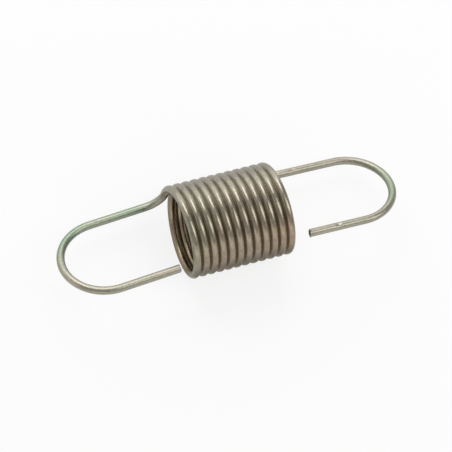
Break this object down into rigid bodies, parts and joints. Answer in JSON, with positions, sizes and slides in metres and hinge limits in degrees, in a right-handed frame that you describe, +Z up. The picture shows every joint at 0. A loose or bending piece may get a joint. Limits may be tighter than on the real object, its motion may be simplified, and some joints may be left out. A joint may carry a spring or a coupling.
{
  "type": "extension spring",
  "caption": "Close-wound extension spring of bare steel wire, with a long open hook at each end that holds two pins or eyes together under tension.",
  "frame": {"origin": "On the surface that the coil lies on, under the middle of the coil's axis.", "axes": "+X runs along the coil's axis, from the end where the wire starts to the end where it stops, for a right-hand coil. +Y points to the side where both legs leave the coil; the free legs are at -Y. +Z is up. The coil lies as it comes to rest, with its centre of mass lowest, so the hooks' plane leans about 26 degrees, legs down."},
  "size_m": [0.066, 0.0176, 0.0177],
  "materials": {
    "spring_steel": "Drawn spring wire, satin beige-grey, slightly oily, with fine drawing lines along the wire and dark sheared ends."
  },
  "bodies": {
    "root": {"spring_wire": "spring_steel"}
  },
  "joints": []
}
